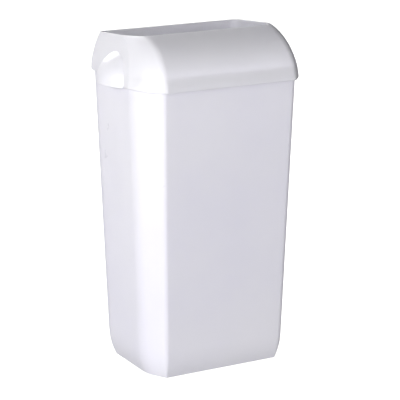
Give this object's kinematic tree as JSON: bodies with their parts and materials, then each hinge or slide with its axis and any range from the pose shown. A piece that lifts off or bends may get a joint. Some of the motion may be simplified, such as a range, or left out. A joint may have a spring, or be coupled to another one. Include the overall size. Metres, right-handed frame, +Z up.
{
  "type": "litter bin",
  "caption": "Tall tapered white plastic bin with an arched lift-off hood, open top mouth, tilting bag ring inside and a wall hook plate behind.",
  "frame": {"origin": "on the floor, under the middle of the bin's overall width and depth (wall plate included)", "axes": "+Z up, front of the bin towards -Y, wall side towards +Y, +X to the right seen from behind"},
  "size_m": [0.3318, 0.2249, 0.535],
  "materials": {
    "tub_plastic": "satin white moulded plastic",
    "hood_plastic": "satin white moulded plastic",
    "ring_plastic": "matt light grey moulded plastic",
    "zinc_sheet": "zinc-plated sheet steel",
    "pin_steel": "turned stainless steel",
    "spring_steel": "oiled spring steel",
    "fastener_steel": "zinc-plated steel",
    "black_rubber": "matt black rubber",
    "grey_rubber": "matt dark grey rubber"
  },
  "bodies": {
    "bin": {"tub": "tub_plastic", "hinge_bracket_left": "zinc_sheet", "hinge_bracket_right": "zinc_sheet", "hinge_pin_left": "pin_steel", "hinge_pin_right": "pin_steel", "pin_clips": "spring_steel", "tub_cleat": "zinc_sheet", "bracket_bolts": "fastener_steel", "bracket_washers": "fastener_steel", "bracket_nuts": "fastener_steel", "wall_bumpers": "black_rubber", "foot_pads": "black_rubber"},
    "hood": {"hood": "hood_plastic", "hood_buffers": "grey_rubber"},
    "ring": {"bag_ring": "ring_plastic"},
    "wall_plate": {"wall_plate": "zinc_sheet"}
  },
  "joints": [
    {"name": "hood_lift", "type": "slide", "parent": "bin", "child": "hood", "axis": [0, 0, 1], "range_m": [0, 0.3]},
    {"name": "ring_tilt", "type": "hinge", "parent": "bin", "child": "ring", "pos_m": [0, 0.089, 0.459], "axis": [-1, 0, 0], "range_deg": [0, 80]},
    {"name": "plate_unhook", "type": "slide", "parent": "bin", "child": "wall_plate", "axis": [0, 0, -1], "range_m": [0, 0.03]}
  ],
  "couplings": [
    {"joint": "ring_tilt", "follows": "hood_lift", "rad_per_m": 4.6}
  ]
}
